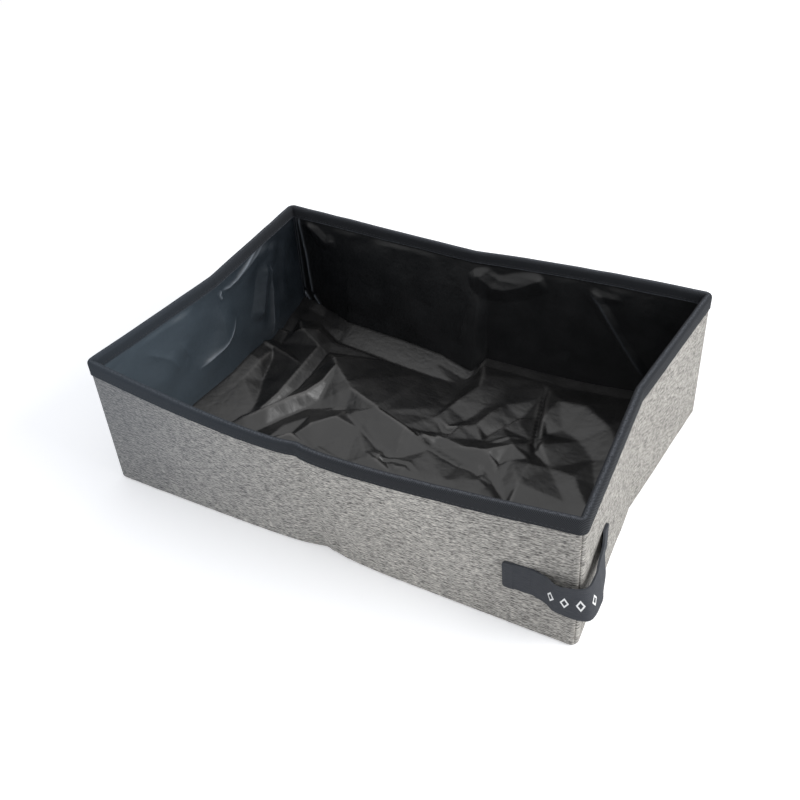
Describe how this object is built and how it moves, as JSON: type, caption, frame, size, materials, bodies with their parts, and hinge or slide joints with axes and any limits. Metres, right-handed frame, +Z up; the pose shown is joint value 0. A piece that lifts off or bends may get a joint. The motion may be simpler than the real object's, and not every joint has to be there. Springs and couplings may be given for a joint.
{
  "type": "foldable litter box",
  "caption": "Collapsible fabric litter tray with stiffened walls, a loose waterproof lining, taped rim and corner strap; its side walls fold inwards to bring the back to the front.",
  "frame": {"origin": "on the underside of the base, at the middle of the four corners", "axes": "+X along the length to the right, +Y from the front wall to the back wall, +Z up"},
  "size_m": [0.4445, 0.3241, 0.127],
  "materials": {
    "heather_fabric": "woven grey melange, short light and dark threads",
    "black_lining": "coated black polyester, soft sheen",
    "rim_tape": "charcoal woven binding tape",
    "board_plastic": "sheet plastic stiffener, hidden",
    "strap_webbing": "dark grey woven webbing"
  },
  "bodies": {
    "front_wall": {"front_outer_panel": "heather_fabric", "front_left_board": "board_plastic", "front_right_board": "board_plastic", "front_lining": "black_lining", "front_rim_tape": "rim_tape", "base_panel": "heather_fabric", "floor_lining": "black_lining", "strap_front_run": "strap_webbing"},
    "right_front": {"right_front_outer_panel": "heather_fabric", "right_front_board": "board_plastic", "right_front_lining": "black_lining", "right_front_rim_tape": "rim_tape", "strap_side_run": "strap_webbing"},
    "right_back": {"right_back_outer_panel": "heather_fabric", "right_back_board": "board_plastic", "right_back_lining": "black_lining", "right_back_rim_tape": "rim_tape"},
    "back_wall": {"back_outer_panel": "heather_fabric", "back_left_board": "board_plastic", "back_right_board": "board_plastic", "back_lining": "black_lining", "back_rim_tape": "rim_tape"},
    "left_front": {"left_front_outer_panel": "heather_fabric", "left_front_board": "board_plastic", "left_front_lining": "black_lining", "left_front_rim_tape": "rim_tape"},
    "left_back": {"left_back_outer_panel": "heather_fabric", "left_back_board": "board_plastic", "left_back_lining": "black_lining", "left_back_rim_tape": "rim_tape"}
  },
  "joints": [
    {"name": "right_front_fold", "type": "hinge", "parent": "front_wall", "child": "right_front", "pos_m": [0.2101, -0.1461, 0], "axis": [0, 0, 1], "range_deg": [0, 80], "deforming": ["floor_lining", "base_panel"]},
    {"name": "right_middle_fold", "type": "hinge", "parent": "right_front", "child": "right_back", "pos_m": [0.20603, 0, 0], "axis": [0, 0, 1], "range_deg": [-160, 0]},
    {"name": "right_back_fold", "type": "hinge", "parent": "right_back", "child": "back_wall", "pos_m": [0.2101, 0.1461, 0], "axis": [0, 0, 1], "range_deg": [0, 80]},
    {"name": "left_front_fold", "type": "hinge", "parent": "front_wall", "child": "left_front", "pos_m": [-0.2101, -0.1461, 0], "axis": [0, 0, 1], "range_deg": [-80, 0]},
    {"name": "left_middle_fold", "type": "hinge", "parent": "left_front", "child": "left_back", "pos_m": [-0.20603, 0, 0], "axis": [0, 0, 1], "range_deg": [0, 160]}
  ],
  "couplings": [
    {"joint": "right_middle_fold", "follows": "right_front_fold", "ratio": -2},
    {"joint": "right_back_fold", "follows": "right_front_fold", "ratio": 1},
    {"joint": "left_front_fold", "follows": "right_front_fold", "ratio": -1},
    {"joint": "left_middle_fold", "follows": "right_front_fold", "ratio": 2}
  ]
}
